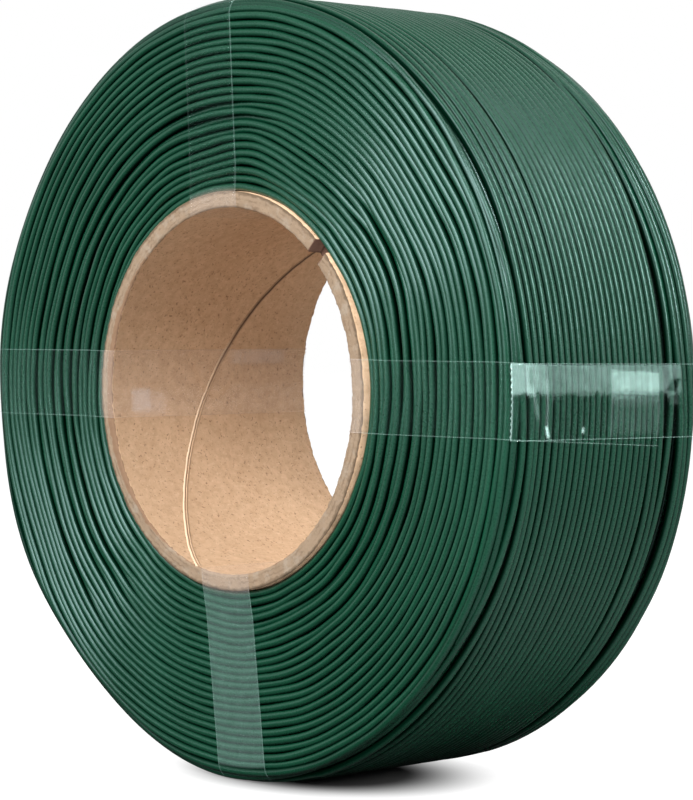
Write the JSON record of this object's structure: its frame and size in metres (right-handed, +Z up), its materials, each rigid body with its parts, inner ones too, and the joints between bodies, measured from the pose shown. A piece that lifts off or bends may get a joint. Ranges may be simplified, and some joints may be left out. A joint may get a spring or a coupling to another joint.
{
  "type": "filament refill coil",
  "caption": "Round coil of 3D printer filament without flanges, wound on a cardboard core tube and held by loops of clear tape.",
  "frame": {"origin": "on the axis of the core tube's bore, midway along it", "axes": "+Y along the bore from the front face to the back face, +Z up with the coil standing on its rim, +X to the right"},
  "size_m": [0.1722, 0.0596, 0.1716],
  "materials": {
    "kraft_cardboard": "uncoated kraft board, spiral wound, with fine flecks",
    "green_filament": "satin dark green PLA",
    "clear_tape": "thin clear adhesive film, glossy"
  },
  "bodies": {
    "root": {"core_tube": "kraft_cardboard", "filament_inner_layers": "green_filament", "filament_outer_layer": "green_filament", "tape_right": "clear_tape", "tape_top": "clear_tape", "tape_left": "clear_tape", "tape_bottom": "clear_tape"}
  },
  "joints": []
}
